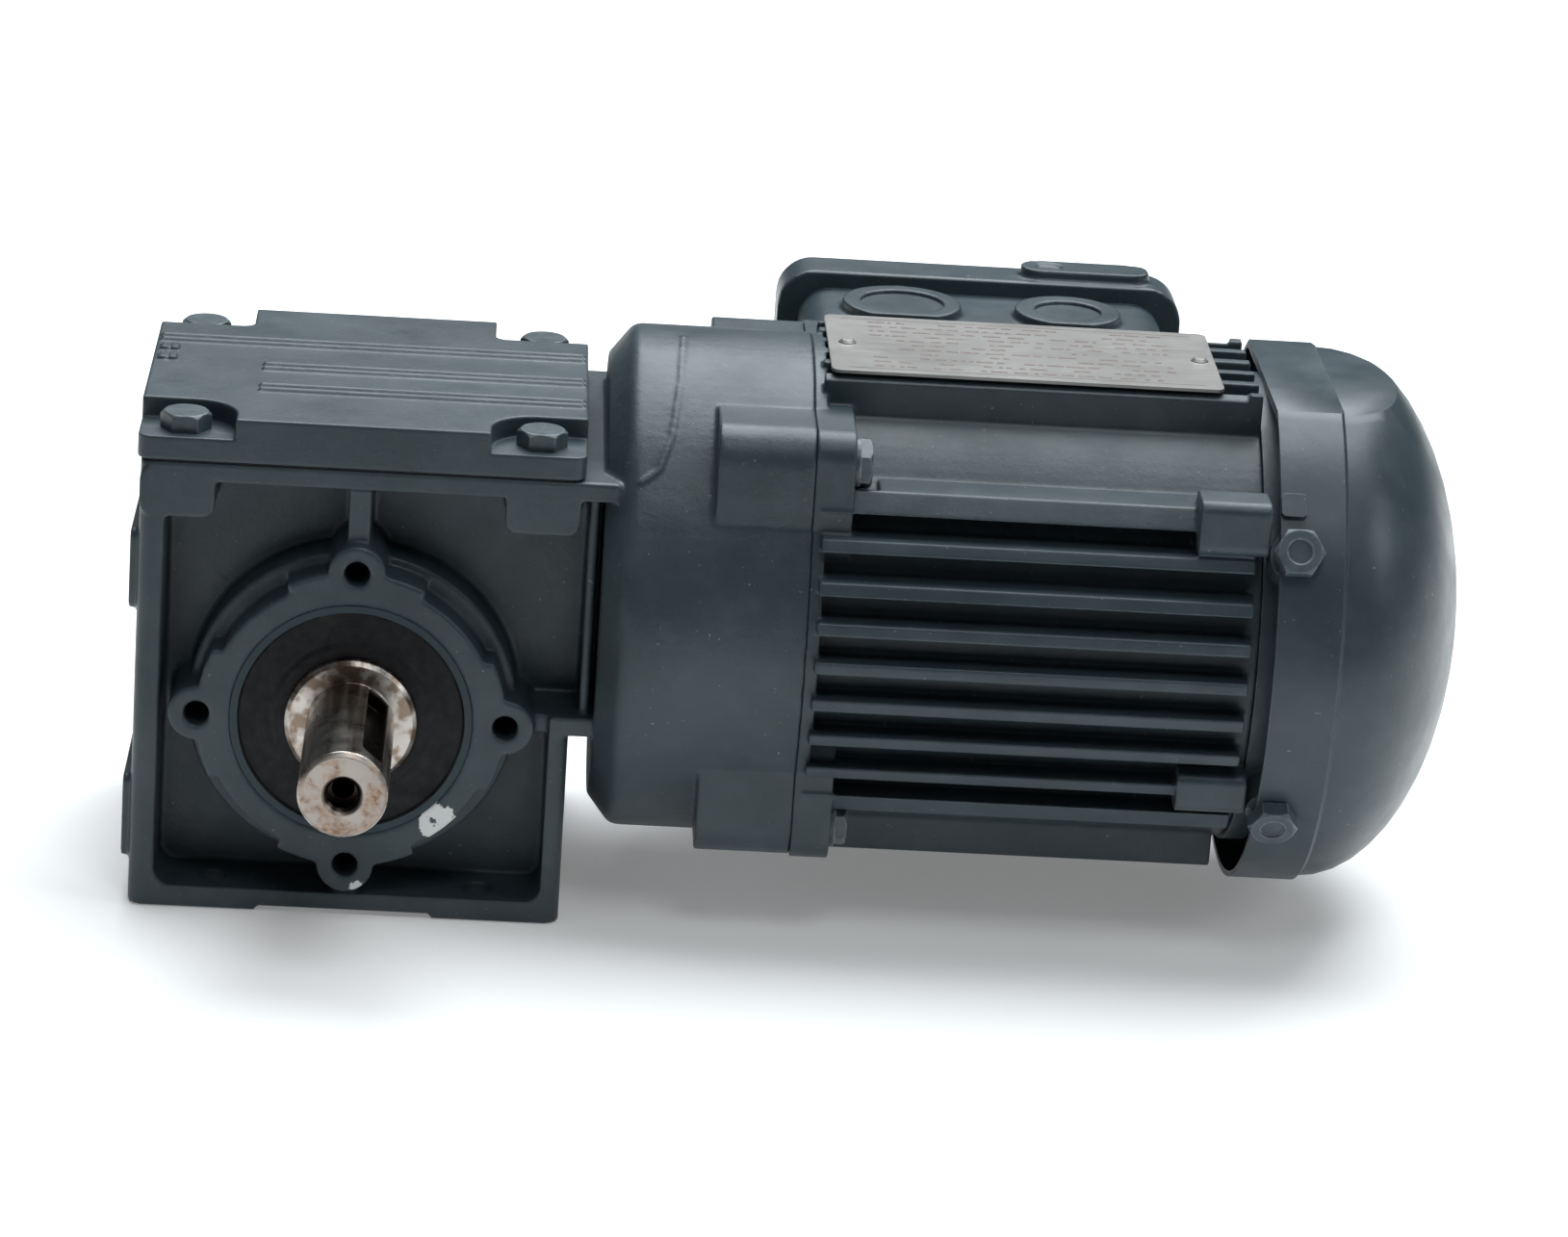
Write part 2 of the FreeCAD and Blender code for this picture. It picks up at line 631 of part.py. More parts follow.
part("rear_closing_cap", placed(turned([
    ("27.5", "bearing_outer_side"), ("27.5", "seal_face"), ("0", "seal_face"), ("0", "seal_face - 2"),
    ("23", "seal_face - 2"), ("24.5", "seal_face - 3.5"), ("24.5", "bearing_outer_side")]), "Y", z="output_height"))

# ---------------------------------------------------------------- rotor line
part("input_pinion", input_pinion())
bearing("input_bearing", "X", "46", 8.5, 20, 12, 3.4, 8, "motor_height")
part("input_oil_seal", placed(turned([
    ("20", "58.3"), ("20", "65.3"), ("9.5", "65.3"), ("8.55", "64.6"), ("8.55", "62.5"), ("11", "61.5"),
    ("18", "61.5"), ("18", "58.3")]), "X", z="motor_height"))
part("rotor_shaft", placed(turned([
    ("5", "68"), ("10", "68"), ("10", "104"), ("rotor_core_seat", "105"), ("rotor_core_seat", "core_end"),
    ("10", "core_end"), ("10", "192.5"), ("rotor_tail_radius", "192.5"), ("rotor_tail_radius", "241"),
    ("7", "241"), ("7", "242.2"), ("rotor_tail_radius", "242.2"), ("rotor_tail_radius", "rotor_shaft_end"),
    ("0", "rotor_shaft_end"), ("0", "91.2"), ("5", "91.2")]), "X", z="motor_height"))
part("rotor_core", placed(tube("gap_radius - 0.3", "rotor_core_seat", "core_start", "core_end"), "X",
                          z="motor_height"))


def rotor_end_rings():
    rings = []
    for low, high, tip in (("core_start - 8", "core_start", "core_start - 13"), ("core_end", "core_end + 7", "core_end")):
        ring = tube("gap_radius - 1", "18", low, high)
        fins = []
        for i in range(6):
            fin = block(("18.5", "26"), ("-0.9", "0.9"), (tip, f"{tip} + 8"))
            fin.Placement = Placement(Vector(), Rotation(Vector(0, 0, 1), 60 * i))
            fin.setExpression("Placement.Base.x", f"{18.5 * cos(radians(60 * i)) + 0.9 * sin(radians(60 * i)):.5f}")
            fin.setExpression("Placement.Base.y", f"{18.5 * sin(radians(60 * i)) - 0.9 * cos(radians(60 * i)):.5f}")
            fin.setExpression("Placement.Base.z", formula(tip))
            fins.append(fin)
        rings.append(fuse(ring, *fins))
    return placed(group(*rings), "X", z="motor_height")


part("rotor_end_rings", rotor_end_rings())
bearing("rear_motor_bearing", "X", "192.5", 7.5, 17.5, 11, 2.98, 8, "motor_height")
part("preload_spring", placed(tube("17.2", "14.6", "203.6", "204.9"), "X", z="motor_height"))


def fan():
    disc = fuse(tube("12", "rotor_tail_radius", "219", "240.9"), tube("54", "11", "222", "224"))
    blades = []
    for i in range(8):
        angle = 45 * i
        blade = block(("11.5", "54"), ("-1", "1"), ("223.5", "239"))
        blade.setExpression("Placement.Base.x", None)
        blade.setExpression("Placement.Base.y", None)
        blade.Placement = Placement(Rotation(Vector(0, 0, 1), angle).multVec(Vector(11.5, -1, 223.5)),
                                    Rotation(Vector(0, 0, 1), angle))
        blades.append(blade)
    envelope = turned([("0", "218"), ("53", "218"), ("53", "228"), ("50", "232"), ("45", "236"), ("40", "239"),
                       ("12", "240.9"), ("0", "240.9")])
    return placed(common(fuse(disc, *blades), envelope), "X", z="motor_height")


part("cooling_fan", fan())
part("fan_circlip", placed(cut(tube("9.6", "7", "241", "242.2"), block(("-1.5", "1.5"), ("-12", "0"), ("240", "244"))),
                           "X", z="motor_height"))


# ---------------------------------------------------------------- motor
def corner_lug(a, b, low, high):
    """A square corner block of the motor flange, with rounded edges."""
    y = sorted((f"{a} * 20", f"{a} * lug_half_square"), key=number)
    z = sorted((f"motor_height + {b} * 20", f"motor_height + {b} * lug_half_square"), key=number)
    return rounded_block((low, high), y, z, 6, "X")


def stator_housing():
    """One finned casting. The fins stand level at the sides and upright at the top and bottom."""
    fins = []
    reach = "fin_tip_radius + 1"
    for i in range(-3, 4):
        z = f"motor_height + {9 * i}"
        fins.append(block(("fins_start", "fin_tip_end"), (f"-({reach})", reach),
                          (f"{z} - fin_half_thickness", f"{z} + fin_half_thickness")))
    for z in (-36, 36):
        fins.append(block(("fins_start", "fin_tip_end"), (f"-({reach})", reach),
                          (f"motor_height + {z - 2.3}", f"motor_height + {z + 2.3}")))
    for y in (4.5, 13.5, 22.5, -4.5, -13.5, -22.5):
        fins.append(block(("fins_start", "fin_tip_end"), (f"{y} - fin_half_thickness", f"{y} + fin_half_thickness"),
                          ("motor_height - top_fin_height", "motor_height + top_fin_height")))
    finned = common(fuse(*fins), rod("fin_tip_radius", "fins_start", "fins_end", "X", MOTOR))
    pieces = [finned, rod("barrel_radius", "drum_end", "fins_end", "X", MOTOR),
              rod("fin_tip_radius - 3", "drum_end", "fins_start + 1", "X", MOTOR)]
    pieces += [corner_lug(a, b, "drum_end", "motor_lug_end") for a, b in SIGNS]
    for x in ("plate_start + 4.5", "plate_end - 3.5"):
        pieces.append(rod("3.4", "motor_height + 50", "motor_height + top_fin_height", "Z", (x, "0")))
    for side in (-1, 1):
        for low, high in ((29.5, 42), (-32, -22.5)):
            pieces.append(rounded_block(("rear_lug_start", "fins_end"), span(side, "44", "56.5"),
                                        (f"motor_height + {low}", f"motor_height + {high}"), 2.5, "X"))
    pieces.append(block(("box_start + 5", "box_end - 5"), ("40", "box_back"), ("box_bottom + 8", "box_top - 8")))
    tools = [rod("stator_radius", "drum_end - 1", "fins_end + 1", "X", MOTOR),
             block(("box_start - 6", "box_end + 6"), ("box_back", "80"), ("box_bottom - 5", "box_top + 6")),
             rod("12", "40", "60", "Y", ("125", "motor_height"))]
    for a, b in SIGNS:
        centre = (f"{a} * motor_bolt_offset", f"motor_height + {b} * motor_bolt_offset")
        tools.append(rod("3.3", "drum_end - 1", "motor_lug_end + 1", "X", centre))
        tools.append(rod("6.4", "motor_lug_end", "motor_lug_end + 6", "X", centre))
    for y, z in ring_of(4, 49.5, 45):
        tools.append(rod("2.4", "188", "fins_end + 1", "X", (f"{y:.3f}", f"motor_height + {z:.3f}")))
    for x in ("plate_start + 4.5", "plate_end - 3.5"):
        tools.append(rod("1.5", "motor_height + 52", "motor_height + 70", "Z", (x, "0")))
    return cut(fuse(*pieces), *tools)


part("stator_housing", stator_housing())
part("drive_end_shield", placed(turned([
    ("12.5", "95"), ("drum_bore_radius", "95"), ("drum_bore_radius", "drum_end"), ("stator_radius", "drum_end"),
    ("stator_radius", "107"), ("41", "107"), ("41", "drum_end"), ("12.5", "drum_end")]), "X", z="motor_height"))


def slots(radius):
    return [rod(radius, "core_start - 1", "core_end + 1", "Z", (f"{x:.4f}", f"{y:.4f}")) for x, y in ring_of(24, 35)]


part("stator_core", placed(cut(tube("stator_radius", "gap_radius", "core_start", "core_end"), *slots("2.6")), "X",
                           z="motor_height"))
part("stator_winding", placed(fuse(
    turned([("31", "core_start - 14"), ("40", "core_start - 14"), ("42", "core_start - 10"),
            ("40", "core_start - 0.4"), ("31", "core_start - 0.4")], [("31", "core_start - 14", "2")]),
    turned([("31", "core_end + 0.4"), ("40", "core_end + 0.4"), ("42", "core_end + 5"), ("40", "core_end + 10"),
            ("31", "core_end + 10")]), *slots("2.4")), "X", z="motor_height"))


def shield_outline():
    return [("8.5", "209"), ("55", "209"), ("55", "fins_end"), ("stator_radius", "fins_end"),
            ("stator_radius", "198"), ("42", "198"), ("42", "fins_end"), ("22", "fins_end"), ("22", "192.5"),
            ("17.5", "192.5"), ("17.5", "205"), ("8.5", "205")]


GUARD_TURNS = (61, 120, -61, -120)


def radial(thing, turn, radius):
    """Points a thing that was built along +Z outwards from the motor axis, at the guard screws' place along it."""
    thing.Placement = Placement(Vector(), Rotation(Vector(1, 0, 0), turn))
    y, z = -radius * sin(radians(turn)), radius * cos(radians(turn))
    return move(thing, "guard_screw_x", f"{y:.4f}", f"motor_height + {z:.4f}")


def rear_shield():
    plate = placed(turned(shield_outline()), "X", z="motor_height")
    posts, holes = [], []
    for turn in GUARD_TURNS:
        posts.append(radial(rod("6", "0", "10"), turn, 52.2))
        holes.append(radial(rod("2.9", "0", "14"), turn, 53))
    for y, z in ring_of(4, 49.5, 45):
        holes.append(rod("2.6", "fins_end - 1", "210", "X", (f"{y:.3f}", f"motor_height + {z:.3f}")))
    return cut(fuse(plate, *posts), *holes)


part("rear_end_shield", rear_shield())


def tie_bolts():
    bolts = []
    for y, z in ring_of(4, 49.5, 45):
        bolts.append(placed(hex_bolt("M5", 18), "X", "209", f"{y:.3f}", f"motor_height + {z:.3f}"))
    return group(*bolts)


def flange_bolts():
    bolts = []
    for a, b in SIGNS:
        bolts.append(placed(hex_bolt("M6", 22, washer=5.8), "X", "motor_lug_end", f"{a} * motor_bolt_offset",
                            f"motor_height + {b} * motor_bolt_offset"))
    return group(*bolts)


def fan_guard():
    """A spun and pierced sheet hood with a flat along its top. The air goes in through the slots in its domed end."""
    step = "guard_radius - 1"

    def dome(radius, end):
        """Points from the guard's end back to its straight part, along a quarter of an ellipse."""
        return [(f"({radius}) * {cos(radians(turn)):.4f}", f"guard_dome + ({end} - guard_dome) * {sin(radians(turn)):.4f}")
                for turn in range(84, 0, -7)]
    outside = cut(placed(turned([
        ("0", "guard_end"), *dome(step, "guard_end"), (step, "guard_dome"), ("guard_radius", "guard_dome - 0.8"),
        ("guard_radius", "guard_start"), ("0", "guard_start")]), "X", z="motor_height"),
        block(("guard_start - 1", "guard_end"), ("-60", "60"), ("motor_height + guard_flat", "motor_height + 80")),
        block(("guard_dome", "guard_end"), ("-60", "60"), ("motor_height + guard_flat - 0.8", "motor_height + 80")))
    inside = cut(placed(turned([
        ("0", "guard_end - guard_sheet"), *dome(f"{step} - guard_sheet", "(guard_end - guard_sheet)"),
        (f"{step} - guard_sheet", "guard_dome"), ("guard_radius - guard_sheet", "guard_dome - 0.8"),
        ("guard_radius - guard_sheet", "guard_start - 1"), ("0", "guard_start - 1")]), "X", z="motor_height"),
        block(("guard_start - 2", "guard_end"), ("-60", "60"),
              ("motor_height + guard_flat - 0.8 - guard_sheet", "motor_height + 80")))
    tabs = [radial(group(rounded_block(("-4", "1.8"), ("-2.8", "2.8"), ("0", "2.4"), 1.2, "Z")), turn, 62.7)
            for turn in (51, -51)]
    holes = [radial(rod("3.1", "0", "8"), turn, 60) for turn in GUARD_TURNS]
    openings = []
    for count, low, high in ((14, 12, 20.5), (6, 4, 10)):
        for i in range(count):
            slot = block(("0", f"{high - low}"), ("-1.6", "1.6"), ("0", "14"))
            angle = 360 * i / count
            slot.Placement = Placement(Vector(), Rotation(Vector(0, 0, 1), angle))
            y = Rotation(Vector(0, 0, 1), angle).multVec(Vector(low, 0, 0))
            move(slot, f"{y.x:.4f}", f"{y.y:.4f}", "guard_end - 8")
            openings.append(slot)
    return cut(fuse(outside, *tabs), inside, placed(fuse(*openings), "X", z="motor_height"), *holes)


def guard_screws():
    return group(*[radial(cut(hex_bolt("M6", 9), rod("2.9", "3.3", "5")), turn, 64.1) for turn in GUARD_TURNS])


part("tie_bolts", tie_bolts())
part("flange_bolts", flange_bolts())
part("fan_guard", fan_guard())
part("guard_screws", guard_screws())


# ---------------------------------------------------------------- terminal box
BOX_X = ("box_start", "box_end")
BOX_Z = ("box_bottom", "box_top")
LID_X = ("box_start - lid_overhang - 1", "box_end + lid_overhang + 1")
LID_Z = ("box_bottom - lid_overhang", "box_top + lid_overhang")
LID_BACK = "box_face + box_gasket"
ENTRIES = (("126.5", 14.5, 10), ("167", 13, 8))


def inset(limits, by):
    return f"{limits[0]} + {by}", f"{limits[1]} - ({by})"


def screw_places():
    x, z = inset(BOX_X, "box_screw_inset"), inset(BOX_Z, "box_screw_inset")
    return [(a, b) for a in x for b in z]


def terminal_box():
    outside = rounded_block(BOX_X, ("box_back", "box_face"), BOX_Z, 8, "Y")
    inside = rounded_block(inset(BOX_X, "box_wall"), ("box_back + box_wall", "box_face + 1"),
                           inset(BOX_Z, "box_wall"), 5, "Y")
    posts = [rod("5.5", "box_back + 1", "box_face", "Y", place) for place in screw_places()]
    holes = [rod("2.4", "box_face - 14", "box_face + 1", "Y", place) for place in screw_places()]
    rings = [rod(f"{outer}", "box_top - 2", "box_top + 2.5", "Z", (x, "69")) for x, outer, inner in ENTRIES]
    bores = [rod(f"{inner}", "box_top - 8", "box_top + 4", "Z", (x, "69")) for x, outer, inner in ENTRIES]
    rings = common(fuse(*rings), block(("90", "200"), ("box_back", "box_face - 1"), ("100", "140")))
    return cut(fuse(cut(outside, inside), *posts, rings), *holes, *bores,
               rod("11", "box_back - 1", "box_back + 5", "Y", ("125", "motor_height")))


def terminal_lid():
    outside = rounded_block(LID_X, (LID_BACK, "lid_face"), LID_Z, 9, "Y")
    inside = rounded_block(inset(LID_X, "lid_wall + 5"), (f"{LID_BACK} - 1", "lid_face - lid_wall"),
                           inset(LID_Z, "lid_wall + 5"), 6, "Y")
    posts = [rod("6", LID_BACK, "lid_face - 1", "Y", place) for place in screw_places()]
    holes = [rod("2.7", f"{LID_BACK} - 1", "lid_face + 1", "Y", place) for place in screw_places()]
    pad = rounded_block(("157", "189"), ("89", "99"), ("box_top", "125.4"), 4.9, "Z")
    dish = rod("3.4", "124.6", "126", "Z", ("164", "94"))
    return cut(fuse(cut(outside, inside), *posts, cut(pad, dish, block(
        ("150", "195"), ("85", "102"), ("100", "box_top + lid_overhang - 2")))), *holes)


def box_gasket():
    ring = cut(rounded_block(BOX_X, ("box_face", LID_BACK), BOX_Z, 8, "Y"),
               rounded_block(inset(BOX_X, "box_wall"), ("box_face - 1", f"{LID_BACK} + 1"), inset(BOX_Z, "box_wall"),
                             5, "Y"))
    rounds = [rod("5.5", "box_face", LID_BACK, "Y", place) for place in screw_places()]
    holes = [rod("2.7", "box_face - 1", f"{LID_BACK} + 1", "Y", place) for place in screw_places()]
    return cut(fuse(ring, *rounds), *holes)


def lid_screws():
    return group(*[placed(hex_bolt("M5", 27), "Y", place[0], "lid_face", place[1]) for place in screw_places()])


def entry_plugs():
    plugs = []
    for x, outer, inner in ENTRIES:
        shank = rod(f"{inner}", "box_top - 5", "box_top + 1.6", "Z", (x, "69"))
        plugs.append(shank)
    return group(*plugs)


def terminal_block():
    base = rounded_block(("122", "171"), ("box_back + box_wall", "box_back + 14"), ("53", "89"), 3, "Y")
    sockets = [rod("2.5", "box_back + 5", "box_back + 15", "Y", stud) for stud in STUDS]
    return cut(base, *sockets)


STUDS = [(f"{130 + 16.5 * i}", f"{62 + 18 * j}") for i in range(3) for j in range(2)]
STUD_SEAT = "box_back + 14"


def terminal_studs():
    studs = []
    for stud in STUDS:
        studs.append(fuse(rod("2.5", "box_back + 5", "box_back + 24", "Y", stud),
                          rod("3.9", f"{STUD_SEAT} + 1.2", f"{STUD_SEAT} + 4.6", "Y", stud)))
    return group(*studs)


def terminal_links():
    links = []
    for i in range(3):
        x = f"{130 + 16.5 * i}"
        bar = rounded_block((f"{x} - 4", f"{x} + 4"), (STUD_SEAT, f"{STUD_SEAT} + 1.2"), ("57", "85"), 3.5, "Y")
        holes = [rod("2.5", STUD_SEAT, f"{STUD_SEAT} + 2", "Y", (x, z)) for z in ("62", "80")]
        links.append(cut(bar, *holes))
    return group(*links)


part("terminal_box", terminal_box())
part("terminal_box_gasket", box_gasket())
part("terminal_box_lid", terminal_lid())
part("terminal_lid_screws", lid_screws())
part("cable_entry_plugs", entry_plugs())
part("terminal_block", terminal_block())
part("terminal_studs", terminal_studs())
part("terminal_links", terminal_links())

# ---------------------------------------------------------------- nameplate
PLATE_BACK = "motor_height + top_fin_height"
plate = rounded_block(("plate_start", "plate_end"), ("-plate_half_width", "plate_half_width"),
                      (PLATE_BACK, f"{PLATE_BACK} + plate_thickness"), 2, "Z")
RIVETS = ("plate_start + 4.5", "plate_end - 3.5")
part("nameplate", cut(plate, *[rod("1.5", PLATE_BACK, f"{PLATE_BACK} + 2", "Z", (x, "0")) for x in RIVETS]))
rivets = []
for x in RIVETS:
    top = f"{PLATE_BACK} + plate_thickness"
    rivets.append(fuse(rod("1.5", f"{PLATE_BACK} - 5", top, "Z", (x, "0")), cone("2.1", "1.3", top, f"{top} + 0.8", "Z",
                                                                               (x, "0"))))
part("nameplate_rivets", group(*rivets))

# ---------------------------------------------------------------- check and write
doc.recompute()
doc.removeObject(probe.Name)
for thing in doc.Objects:
    if any(word in ("Invalid", "Error") for word in thing.State):
        raise RuntimeError(f"{thing.Name} did not compute: {thing.State}")
os.makedirs("parts", exist_ok=True)
for thing in PARTS:
    if thing.Shape.isNull() or not thing.Shape.isValid():
        raise RuntimeError(f"{thing.Label} has no valid shape")
    thing.Shape.exportStep(f"parts/{thing.Label}.step")
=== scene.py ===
"""Looks of the right-angle geared motor: materials, detailed castings, studio and camera round the CAD."""

import json
import random
from math import cos, radians, sin

import bmesh
import bpy
from mathutils import Matrix, Vector


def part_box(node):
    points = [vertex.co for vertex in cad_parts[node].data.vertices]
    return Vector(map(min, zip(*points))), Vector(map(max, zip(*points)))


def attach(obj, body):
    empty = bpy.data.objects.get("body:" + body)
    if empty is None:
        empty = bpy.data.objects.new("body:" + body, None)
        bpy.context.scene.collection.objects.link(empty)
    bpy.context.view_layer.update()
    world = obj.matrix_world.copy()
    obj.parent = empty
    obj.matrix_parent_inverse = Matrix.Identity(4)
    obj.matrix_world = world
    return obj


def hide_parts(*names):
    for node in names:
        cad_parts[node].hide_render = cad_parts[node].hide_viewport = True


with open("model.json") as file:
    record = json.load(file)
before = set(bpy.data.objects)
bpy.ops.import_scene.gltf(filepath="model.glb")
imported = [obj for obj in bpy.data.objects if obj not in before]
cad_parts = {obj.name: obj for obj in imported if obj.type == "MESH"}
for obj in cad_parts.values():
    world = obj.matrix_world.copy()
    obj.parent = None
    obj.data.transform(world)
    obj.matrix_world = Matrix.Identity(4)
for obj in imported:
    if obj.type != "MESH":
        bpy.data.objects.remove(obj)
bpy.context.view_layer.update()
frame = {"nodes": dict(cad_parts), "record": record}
NODES = frame["nodes"]
FIXED = "motor_and_casing"
MM = 0.001
MOTOR_Z = 70.8 * MM
OUTPUT_Z = 48 * MM


# ---------------------------------------------------------------- material helpers
class Graph:
    """A short way to build a node tree."""

    def __init__(self, name):
        self.material = bpy.data.materials.new(name)
        self.material.use_nodes = True
        self.tree = self.material.node_tree
        self.shader = self.tree.nodes["Principled BSDF"]
        self.position = self.add("ShaderNodeTexCoord").outputs["Object"]

    def add(self, kind, settings=None, **inputs):
        """Adds a node. A keyword is an input's name, or i and its number."""
        node = self.tree.nodes.new(kind)
        for key, value in (settings or {}).items():
            setattr(node, key, value)
        for key, value in inputs.items():
            self.put(node.inputs[int(key[1:]) if key[0] == "i" and key[1:].isdigit() else key], value)
        return node

    def put(self, socket, value):
        if isinstance(value, bpy.types.NodeSocket):
            self.tree.links.new(value, socket)
        elif isinstance(value, tuple) and len(value) == 3 and socket.type == "RGBA":
            socket.default_value = (*value, 1)
        else:
            socket.default_value = value

    def noise(self, scale, detail=3.0, rough=0.5, vector=None, distortion=0.0):
        node = self.add("ShaderNodeTexNoise", Scale=scale, Detail=detail, Roughness=rough, Distortion=distortion)
        self.put(node.inputs["Vector"], vector or self.position)
        return node.outputs["Fac"]

    def ramp(self, value, low, high, out_low=0.0, out_high=1.0):
        node = self.add("ShaderNodeMapRange", {"clamp": True}, i0=value)
        for index, number in enumerate((low, high, out_low, out_high), 1):
            node.inputs[index].default_value = number
        return node.outputs[0]

    def fade(self, value, low, high):
        """1 up to low, then down to 0 at high."""
        return self.math("SUBTRACT", 1.0, self.ramp(value, low, high), True)

    def math(self, operation, a, b=0.0, clamp=False):
        return self.add("ShaderNodeMath", {"operation": operation, "use_clamp": clamp}, i0=a, i1=b).outputs[0]

    def mix(self, factor, a, b):
        node = self.add("ShaderNodeMix", {"data_type": "RGBA"})
        self.put(node.inputs[0], factor)
        self.put(node.inputs[6], a)
        self.put(node.inputs[7], b)
        return node.outputs[2]

    def vector_math(self, operation, a, *b):
        inputs = {"i1": b[0]} if b else {}
        return self.add("ShaderNodeVectorMath", {"operation": operation}, i0=a, **inputs).outputs

    def stretched(self, scale):
        return self.vector_math("MULTIPLY", self.position, scale)[0]

    def distance(self, point):
        return self.vector_math("DISTANCE", self.position, point)["Value"]

    def radius(self, centre, axis):
        """Distance from an axis through centre, in metres."""
        moved = self.vector_math("SUBTRACT", self.position, centre)[0]
        keep = {"X": (0, 1, 1), "Y": (1, 0, 1), "Z": (1, 1, 0)}[axis]
        return self.vector_math("LENGTH", self.vector_math("MULTIPLY", moved, keep)[0])["Value"]

    def coordinate(self, axis):
        return self.add("ShaderNodeSeparateXYZ", i0=self.position).outputs[axis]

    def bump(self, height, distance, strength=1.0, normal=None):
        node = self.add("ShaderNodeBump", Strength=strength, Distance=distance, Height=height)
        if normal is not None:
            self.put(node.inputs["Normal"], normal)
        return node.outputs[0]

    def soft_edges(self, radius):
        return self.add("ShaderNodeBevel", {"samples": 6}, Radius=radius).outputs[0]

    def wear(self, radius):
        """High along sharp edges: where the rounded normal differs from the true one."""
        true = self.add("ShaderNodeNewGeometry").outputs["Normal"]
        return self.ramp(self.vector_math("DOT_PRODUCT", self.soft_edges(radius), true)["Value"], 0.985, 0.86)

    def finish(self, color=None, rough=None, normal=None, metallic=None, **flat):
        linked = {"Base Color": color, "Roughness": rough, "Normal": normal, "Metallic": metallic}
        for socket, value in linked.items():
            if value is not None:
                self.put(self.shader.inputs[socket], value)
        for socket, value in flat.items():
            self.shader.inputs[socket.replace("_", " ")].default_value = value
        return self.material


# ---------------------------------------------------------------- materials
PAINT = (0.038, 0.056, 0.066)
PAINT_DARK = (0.027, 0.041, 0.049)
PAINT_LIGHT = (0.060, 0.082, 0.093)
PAINT_WORN = (0.125, 0.155, 0.168)
SPECKS = (0.30, 0.33, 0.34)
RUBBED_STEEL = (0.34, 0.36, 0.36)
SHAFT_RADIUS = 10 * MM
SHAFT_END_Y = -96.4 * MM
# radius of the disc of painted shade over the centre drilling on the shaft's end
CENTRE_HOLE_SHADE_RADIUS = 3.4 * MM
SEAL_RUBBER_RADIUS = 26 * MM
# ragged chips low on the output boss: centre, whole within, gone beyond, grain, threshold, primer colour
CHIPS = (
    ((0.021, -0.048, 0.0245), 0.0035, 0.0075, 420, 0.36, (0.74, 0.75, 0.74)),
    ((0.003, -0.048, 0.0075), 0.0010, 0.0035, 520, 0.34, (0.70, 0.71, 0.70)),
)


def paint(name, casting=1.0, rough=0.40, chips=()):
    """Sprayed enamel: orange peel over the grain of the casting, light specks, thin at the edges."""
    g = Graph(name)
    broad = g.noise(22, 4, 0.6)
    cloudy = g.noise(140, 3, 0.55)
    color = g.mix(g.ramp(broad, 0.35, 0.65), PAINT_DARK, PAINT)
    color = g.mix(g.ramp(cloudy, 0.45, 0.75, 0.0, 0.35), color, PAINT_LIGHT)
    worn = g.math("MULTIPLY", g.wear(0.6 * MM), g.ramp(g.noise(260, 3, 0.6), 0.42, 0.62, 0.15, 0.8))
    color = g.mix(worn, color, PAINT_WORN)
    specks = g.ramp(g.noise(900, 2, 0.5), 0.73, 0.76)
    color = g.mix(g.math("MULTIPLY", specks, 0.4), color, SPECKS)
    for centre, whole, gone, grain, threshold, primer in chips:
        near = g.fade(g.distance(centre), whole, gone)
        ragged = g.ramp(g.math("MULTIPLY", near, g.noise(grain, 4, 0.7)), threshold, 0.40)
        color = g.mix(ragged, color, primer)
    roughness = g.ramp(g.noise(60, 4, 0.6), 0.3, 0.7, rough - 0.05, rough + 0.09)
    normal = g.bump(g.noise(650, 3, 0.55), 0.09 * MM * casting, 0.6, g.soft_edges(0.3 * MM))
    normal = g.bump(g.noise(1900, 2, 0.5), 0.04 * MM * casting, 0.6, normal)
    return g.finish(color, roughness, normal, Specular_IOR_Level=0.42)


def bolt_paint(name):
    """Enamel that has rubbed through to the plated steel on the corners of the heads."""
    g = Graph(name)
    color = g.mix(g.ramp(g.noise(300, 4, 0.6), 0.35, 0.68), PAINT, PAINT_LIGHT)
    edge = g.math("MULTIPLY", g.wear(0.6 * MM), g.ramp(g.noise(500, 3, 0.6), 0.40, 0.60, 0.2, 1.0))
    color = g.mix(edge, color, RUBBED_STEEL)
    roughness = g.ramp(g.noise(420, 3, 0.6), 0.3, 0.7, 0.30, 0.46)
    return g.finish(color, roughness, g.bump(g.noise(1200, 2, 0.5), 0.03 * MM, 0.6, g.soft_edges(0.6 * MM)))


def ground_steel(name, color, rough, turned_along=None):
    """Bright steel, with turning marks round the axis that it was turned along."""
    g = Graph(name)
    base = g.mix(g.ramp(g.noise(120, 4, 0.6), 0.35, 0.7), color, tuple(c * 0.72 for c in color))
    roughness = g.ramp(g.noise(300, 4, 0.65), 0.3, 0.75, rough - 0.08, rough + 0.16)
    normal = g.soft_edges(0.3 * MM)
    if turned_along:
        squash = {"X": (1, 0.01, 0.01), "Y": (0.01, 1, 0.01), "Z": (0.01, 0.01, 1)}[turned_along]
        normal = g.bump(g.noise(5200, 2, 0.5, g.stretched(squash)), 0.01 * MM, 0.6, normal)
    normal = g.bump(g.noise(1600, 3, 0.6), 0.01 * MM, 0.5, normal)
    return g.finish(base, roughness, normal, 1.0)


